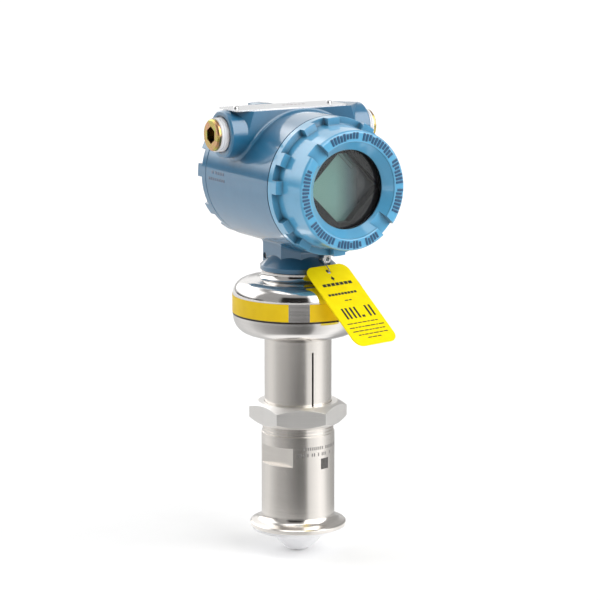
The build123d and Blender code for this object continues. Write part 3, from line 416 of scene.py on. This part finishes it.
def window_glass():
    """Clear glass that lets light through to the display."""
    material, tree, shader = new_material("window_glass", Roughness=0.0, IOR=1.5, Transmission_Weight=1.0)
    smear = noise(tree, object_place(tree), 35.0, 3.0)
    tint = ramp(tree, smear, (0.3, srgb(246, 250, 249)), (0.7, srgb(252, 254, 253)))
    join(tree, tint, shader, "Base Color")
    join(tree, bump(tree, smear, 0.02, 0.02 * MM), shader, "Normal")
    clear = add(tree, "ShaderNodeBsdfTransparent").outputs[0]
    paths = add(tree, "ShaderNodeLightPath").outputs
    through = compute(tree, "MAXIMUM", paths["Is Shadow Ray"], paths["Is Diffuse Ray"])
    mixed = add(tree, "ShaderNodeMixShader", {0: through, 1: shader.outputs[0], 2: clear}).outputs[0]
    tree.links.new(mixed, tree.nodes["Material Output"].inputs["Surface"])
    return material


def lcd_panel():
    """Unlit liquid crystal panel: grey green, with painted shade that darkens it towards one side."""
    material, tree, shader = new_material("lcd", Roughness=0.22, Coat_Weight=0.3)
    low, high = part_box("lcd_panel")
    place = add(tree, "ShaderNodeTexCoord").outputs["Object"]
    parts = add(tree, "ShaderNodeSeparateXYZ", {0: place}).outputs
    across = span(tree, parts[0], low.x, high.x, 0.0, 1.0)
    grain = span(tree, noise(tree, place, 2600.0, 1.0), 0.3, 0.7, -0.008, 0.008)
    # Painted shade: the colour falls to near black across the panel
    colour = ramp(tree, compute(tree, "ADD", across, grain), (0.0, srgb(112, 152, 140)),
                  (0.45, srgb(104, 143, 135)), (0.62, srgb(70, 96, 98)), (0.76, srgb(26, 32, 38)),
                  (1.0, srgb(22, 25, 32)))
    join(tree, colour, shader, "Base Color")
    return material


MATERIALS = {
    # The front cover's copy of the blue paint is lighter: painted light for the light on its face
    "blue_paint": blue_paint("blue_paint", srgb(38, 106, 144), srgb(46, 115, 153)),
    "lit_cover_blue": blue_paint("lit_cover_blue", srgb(80, 160, 201), srgb(88, 168, 209)),
    # The raised marks' copy of the blue paint is darker: painted shade on them
    "shaded_mark_blue": blue_paint("shaded_mark_blue", srgb(24, 74, 112), srgb(30, 82, 122)),
    "polished_steel": steel("polished_steel", srgb(226, 223, 220), 0.13, 0.3, 900.0, 0.003 * MM),
    "turned_steel": steel("turned_steel", srgb(231, 226, 220), 0.20, 0.5, 2600.0, 0.004 * MM),
    "nut_steel": steel("nut_steel", srgb(234, 232, 229), 0.46, 0.0, 1400.0, 0.006 * MM, 0.5 * MM),
    "screw_steel": steel("screw_steel", srgb(226, 226, 226), 0.16, 0.0, 1500.0, 0.006 * MM),
    "plate_steel": steel("plate_steel", srgb(230, 230, 231), 0.30, 0.0, 500.0, 0.006 * MM, 0.15 * MM),
    "yellow_zinc": yellow_zinc(),
    "white_ptfe": plain("white_ptfe", srgb(228, 228, 230), srgb(236, 236, 238), 0.38, 220.0,
                        Subsurface_Weight=0.25, Subsurface_Radius=(0.003, 0.003, 0.003)),
    "yellow_label": plain("yellow_label", srgb(226, 188, 6), srgb(233, 197, 10), 0.42, 260.0, 0.02 * MM,
                          Specular_IOR_Level=0.25),
    "yellow_tag": plain("yellow_tag", srgb(248, 222, 4), srgb(252, 228, 8), 0.55, 400.0, 0.03 * MM,
                        Specular_IOR_Level=0.1),
    "black_plastic": plain("black_plastic", srgb(15, 14, 17), srgb(21, 20, 24), 0.40, 900.0, 0.05 * MM,
                           Specular_IOR_Level=0.25),
    "seal_rubber": plain("seal_rubber", srgb(24, 24, 25), srgb(34, 34, 35), 0.62, 900.0),
    "module_case": plain("module_case", srgb(160, 162, 168), srgb(176, 178, 183), 0.42, 500.0,
                         Metallic=0.9),
    "brass": plain("brass", srgb(212, 182, 112), srgb(226, 198, 128), 0.28, 700.0, Metallic=1.0),
    "seam_dark": plain("seam_dark", srgb(52, 48, 46), srgb(66, 61, 58), 0.4, 900.0, Metallic=0.6),
    "ink": plain("ink", srgb(26, 24, 20), srgb(34, 31, 26), 0.5, 900.0),
    "fine_ink": plain("fine_ink", srgb(84, 76, 14), srgb(96, 86, 20), 0.5, 900.0),
    "etching": plain("etching", srgb(122, 120, 118), srgb(138, 136, 133), 0.5, 1500.0, Metallic=0.4),
    "dark_etching": plain("dark_etching", srgb(76, 74, 73), srgb(92, 90, 88), 0.5, 1500.0, Metallic=0.3),
    "panel_line": plain("panel_line", srgb(34, 58, 54), srgb(42, 68, 62), 0.4, 900.0),
    "plate_print": plain("plate_print", srgb(150, 128, 128), srgb(160, 138, 136), 0.5, 900.0),
    "window_glass": window_glass(),
    "lcd": lcd_panel(),
}


def dress_nodes():
    """Each CAD node keeps its mesh and takes the finish of its material slot."""
    for item in nodes.values():
        for slot in item.material_slots:
            slot.material = MATERIALS[slot.material.name.split(".")[0]]
    # The front cover takes the lighter copy of the blue paint, painted light on its face
    nodes["front_cover"].material_slots[0].material = MATERIALS["lit_cover_blue"]


# Printed and raised marks: plain bars and ticks on the part's surfaces, in mm and degrees

MARK_SINK = 0.05
PRINT_RAISE = 0.03
ETCH_RAISE = 0.02
RING_FACE_Y = -69.6
AXIS_Z = 233.5
RING_INNER, RING_OUTER = 32.4, 37.3
RING_RAISE = 0.35
RING_TICK, RING_GAP = 2.3, 1.5
RING_INNER_CUTS = (0.0, 0.0, 0.9)
RING_OUTER_CUTS = (0.0, 0.0, 0.7)
RING_WORDS = (
    # first and last angle of each group of ticks on the ring's face
    (117, 84), (78, 36), (30, 4), (-2, -27), (155, 206), (213, 246), (252, 280), (286, 302),
)
HOUSING_RADIUS = 45.0
HOUSING_RAISE = 0.15
HOUSING_GAP = 0.8
HOUSING_ROWS = (
    # low and high angle on the housing's side, then the ticks' start, end and pitch along Y
    (2.4, 4.8, 19.4, 31.8, 3.0),
    (2.4, 4.8, 33.6, 36.0, 3.0),
    (-3.0, -0.8, 18.4, 40.2, 2.7),
)
# The tag's own place: a point on it, its normal, and the ways across and down it
TAG_TOP = Vector((5.33, -24.43, 177.63))
TAG_NORMAL = Vector((0.138352, -0.63454, 0.760406))
TAG_ACROSS = Vector((0.977, 0.213, 0.0)).normalized()
TAG_DOWN = Vector((0.162, -0.743, -0.649)).normalized()
TAG_THICK = 0.9
TAG_WORDS = (
    # start, end, upper and lower edge, block length, gap
    (-12.8, 12.8, 14.9, 17.3, 2.9, 0.7),
    (-13.6, 11.2, 23.4, 25.2, 2.1, 0.6),
)
TAG_BOLD = (
    # start, end, upper and lower edge of the bold bars
    (-11.6, -9.9, 36.2, 45.4), (-8.4, -6.7, 36.2, 45.4), (-4.6, -2.9, 36.2, 45.4),
    (-0.9, 0.8, 36.2, 45.4), (2.2, 4.6, 43.6, 45.4), (8.6, 10.3, 36.2, 45.4), (12.2, 13.9, 36.2, 45.4),
)
TAG_LINES = (
    # start, end and height of the fine lines
    (-3.4, 2.6, 30.2), (-14.6, 12.2, 49.2), (-15.0, 15.4, 52.7), (-14.4, 15.2, 55.9),
    (-11.6, 14.2, 59.0), (-5.4, 7.2, 61.9),
)
FINE_LENGTHS = (1.6, 5.0)
FINE_LEAST, FINE_GAP, FINE_HALF = 0.6, 0.7, 0.42
DIAMOND_ACROSS, DIAMOND_DOWN = -0.6, 11.2
DIAMOND_HALF_WIDTH, DIAMOND_HALF_HEIGHT = 1.5, 2.0
DIAMOND_BAR = (-0.5, 0.5, -0.5, 0.5)
ADAPTER_RADIUS = 24.4
ADAPTER_TICK, ADAPTER_GAP = 2.0, 1.6
ADAPTER_SHARE = 0.85
ADAPTER_ROWS = (
    # start and end azimuth, low and high edge
    (-22.0, 52.0, 55.2, 57.4), (-30.0, 30.0, 51.0, 53.2),
)
ADAPTER_FIELD = (8.3, 24.4, 41.6, 48.9)
PANEL_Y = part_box("lcd_panel")[0].y / MM
PANEL_RAISE = 0.2
PANEL_LINE = 0.55
PANEL_BAR = (0.0, 1.0, -1.0, 1.0)
PANEL_OUTLINE = ((-12.9, 245.4), (-1.0, 255.6), (9.3, 245.2), (11.0, 247.0), (1.2, 256.9))
PLATE_TOP = 280.8
PLATE_TICK, PLATE_GAP = 2.4, 0.8
# start, end and the two edges of the row on the nameplate
PLATE_ROW = (-6.0, 11.0, 9.6, 11.2)
SEAM_RADIUS, SEAM_LOW, SEAM_HIGH = 43.32, 143.9, 145.1
# How many times deeper than the other marks the seam is sunk
SEAM_DEEPER = 8


def slab(shape, place, bar, low, high, steps):
    """Adds one bar: place(u, v, height) gives its points in mm, and it bends with the surface."""
    u0, u1, v0, v1 = bar
    rows = []
    for k in range(steps + 1):
        u = u0 + (u1 - u0) * k / steps
        corners = [place(u, v0, low), place(u, v0, high), place(u, v1, high), place(u, v1, low)]
        rows.append([shape.verts.new(Vector(point) * MM) for point in corners])
    for first, second in zip(rows, rows[1:]):
        for a, b in ((0, 1), (1, 2), (2, 3), (3, 0)):
            shape.faces.new((first[a], first[b], second[b], second[a]))
    shape.faces.new(rows[0])
    shape.faces.new(rows[-1][::-1])


def add_bars(name, body, material, place, bars, raise_by, steps):
    """One piece of bars that rides on a body."""
    shape = bmesh.new()
    for bar in bars:
        slab(shape, place, bar, -MARK_SINK, raise_by, steps)
    bmesh.ops.recalc_face_normals(shape, faces=shape.faces)
    mesh = bpy.data.meshes.new(name)
    shape.to_mesh(mesh)
    shape.free()
    mesh.materials.append(MATERIALS[material])
    piece = bpy.data.objects.new(name, mesh)
    bpy.context.scene.collection.objects.link(piece)
    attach(piece, body)


def blocks(start, end, length, gap):
    """Start and end of equal blocks with gaps between them."""
    count = max(1, round((end - start + gap) / (length + gap)))
    pitch = (end - start + gap) / count
    return [(start + pitch * k, start + pitch * (k + 1) - gap) for k in range(count)]


def on_ring(angle, radius, height):
    a = math.radians(angle)
    return radius * math.cos(a), RING_FACE_Y - height, AXIS_Z + radius * math.sin(a)


def on_housing(y, angle, height):
    a = math.radians(angle)
    reach = HOUSING_RADIUS + height
    return -reach * math.cos(a), y, AXIS_Z + reach * math.sin(a)


def on_tag(across, down, height):
    return TAG_TOP + TAG_NORMAL * (TAG_THICK + height) + TAG_ACROSS * across + TAG_DOWN * down


def on_adapter(azimuth, z, height):
    a = math.radians(azimuth)
    reach = ADAPTER_RADIUS + height
    return reach * math.sin(a), -reach * math.cos(a), z


def on_diamond(u, v, height):
    across = DIAMOND_ACROSS + DIAMOND_HALF_WIDTH * (u - v)
    down = DIAMOND_DOWN + DIAMOND_HALF_HEIGHT * (u + v)
    return on_tag(across, down, height)


def on_plate(x, y, height):
    return x, y, PLATE_TOP + height


def on_seam(azimuth, z, height):
    a = math.radians(azimuth)
    reach = SEAM_RADIUS + min(height, 0.0) * SEAM_DEEPER + max(height, 0.0)
    return reach * math.sin(a), -reach * math.cos(a), z


def along_panel(start, end):
    """Place function of a bar that runs from one point of the panel to another."""
    along = Vector((end[0] - start[0], end[1] - start[1]))
    side = Vector((-along.y, along.x)).normalized() * PANEL_LINE / 2

    def place(u, v, height):
        across = start[0] + along.x * u + side.x * v
        up = start[1] + along.y * u + side.y * v
        return across, PANEL_Y - height, up

    return place


def ring_ticks():
    """Raised ticks of a few lengths between the slots of the front cover's ring."""
    chance = random.Random(5)
    bars = []
    for start, end in RING_WORDS:
        low, high = min(start, end), max(start, end)
        for first, last in blocks(low, high, RING_TICK, RING_GAP):
            inner = RING_INNER + chance.choice(RING_INNER_CUTS)
            outer = RING_OUTER - chance.choice(RING_OUTER_CUTS)
            bars.append((first, last, inner, outer))
    # The ticks take the darker copy of the blue paint, a painted shade
    add_bars("ring_ticks", "front_cover", "shaded_mark_blue", on_ring, bars, RING_RAISE, steps=2)


def housing_ticks():
    bars = []
    for low, high, start, end, pitch in HOUSING_ROWS:
        for first, last in blocks(start, end, pitch - HOUSING_GAP, HOUSING_GAP):
            bars.append((first, last, low, high))
    # The ticks take the darker copy of the blue paint, a painted shade
    add_bars("housing_ticks", "head", "shaded_mark_blue", on_housing, bars, HOUSING_RAISE, steps=1)


def tag_print():
    chance = random.Random(11)
    words = []
    for start, end, upper, lower, length, gap in TAG_WORDS:
        words += [(first, last, upper, lower) for first, last in blocks(start, end, length, gap)]
    add_bars("tag_bars", "tag", "ink", on_tag, words + list(TAG_BOLD), PRINT_RAISE, steps=1)
    fine = []
    for start, end, height in TAG_LINES:
        place = start
        while place < end - FINE_LEAST:
            length = min(chance.uniform(*FINE_LENGTHS), end - place)
            fine.append((place, place + length, height - FINE_HALF, height + FINE_HALF))
            place += length + FINE_GAP
    add_bars("tag_lines", "tag", "fine_ink", on_tag, fine, PRINT_RAISE, steps=1)
    add_bars("tag_diamond", "tag", "ink", on_diamond, [DIAMOND_BAR], PRINT_RAISE, steps=1)


def adapter_etching():
    chance = random.Random(3)
    bars = []
    for start, end, low, high in ADAPTER_ROWS:
        for first, last in blocks(start, end, ADAPTER_TICK, ADAPTER_GAP):
            if chance.random() < ADAPTER_SHARE:
                bars.append((first, last, low, high))
    add_bars("adapter_ticks", "root", "etching", on_adapter, bars, ETCH_RAISE, steps=2)
    add_bars("adapter_field", "root", "dark_etching", on_adapter, [ADAPTER_FIELD], ETCH_RAISE, steps=6)


def panel_outline():
    """Thin printed outline at the panel's upper corner."""
    for index, (start, end) in enumerate(zip(PANEL_OUTLINE, PANEL_OUTLINE[1:])):
        place = along_panel(start, end)
        add_bars(f"panel_line_{index}", "head", "panel_line", place, [PANEL_BAR], PANEL_RAISE, steps=1)


def plate_print():
    start, end, low, high = PLATE_ROW
    rows = [(first, last, low, high) for first, last in blocks(start, end, PLATE_TICK, PLATE_GAP)]
    add_bars("plate_print", "head", "plate_print", on_plate, rows, PRINT_RAISE, steps=1)


def seam_line():
    """Dark joint between the two halves of the sensor."""
    ring = (0.0, 360.0, SEAM_LOW, SEAM_HIGH)
    add_bars("seam_line", "root", "seam_dark", on_seam, [ring], PRINT_RAISE, steps=120)


def add_marks():
    ring_ticks()
    seam_line()
    housing_ticks()
    tag_print()
    adapter_etching()
    panel_outline()
    plate_print()


bpy.context.scene.view_settings.view_transform = "Standard"
make_camera()
make_world()
make_floor()
make_reflected_floor()
dress_nodes()
add_marks()
